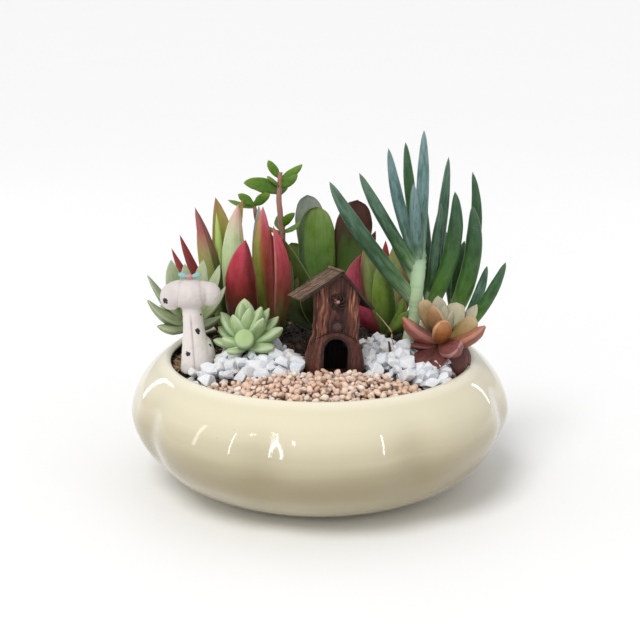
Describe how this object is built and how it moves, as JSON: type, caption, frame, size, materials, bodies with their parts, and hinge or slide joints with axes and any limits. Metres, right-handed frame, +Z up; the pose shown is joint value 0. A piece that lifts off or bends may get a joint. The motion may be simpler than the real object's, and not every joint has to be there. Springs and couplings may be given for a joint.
{
  "type": "succulent dish garden",
  "caption": "Low lobed glazed bowl of soil planted with rosettes, pointed red and green shoots and blue finger-leaved succulents, dressed with stone chips, gravel, a tree house and a clay dog.",
  "frame": {"origin": "under the middle of the bowl, on the plane of its foot ring", "axes": "+Z up, -Y towards the viewer of the picture, +X to the viewer's right"},
  "size_m": [0.25, 0.25, 0.234],
  "materials": {
    "glazed_bowl": "gloss",
    "soil": "matte",
    "white_chips": "satin",
    "tan_gravel": "satin",
    "brown_resin": "satin",
    "white_clay": "satin",
    "blue_clay": "satin",
    "pale_green_leaf": "satin",
    "grey_green_leaf": "satin",
    "orange_leaf": "satin",
    "red_leaf": "satin",
    "yellow_green_leaf": "satin",
    "dark_green_leaf": "satin",
    "sprig_leaf": "satin",
    "blue_green_leaf": "satin"
  },
  "bodies": {
    "root": {"bowl": "glazed_bowl", "soil": "soil", "white_chips_left": "white_chips", "white_chips_right": "white_chips", "tan_gravel": "tan_gravel", "tree_house": "brown_resin", "dog": "white_clay", "dog_bow": "blue_clay", "green_rosette": "pale_green_leaf", "ghost_rosette": "grey_green_leaf", "orange_rosette": "orange_leaf", "red_shoot_left": "red_leaf", "red_shoot_middle": "red_leaf", "red_shoot_right": "red_leaf", "green_shoot": "yellow_green_leaf", "paddle_plant": "dark_green_leaf", "sprig": "sprig_leaf", "chalk_shoot_1": "blue_green_leaf", "chalk_shoot_2": "blue_green_leaf", "chalk_shoot_3": "blue_green_leaf", "chalk_shoot_4": "blue_green_leaf"}
  },
  "joints": []
}
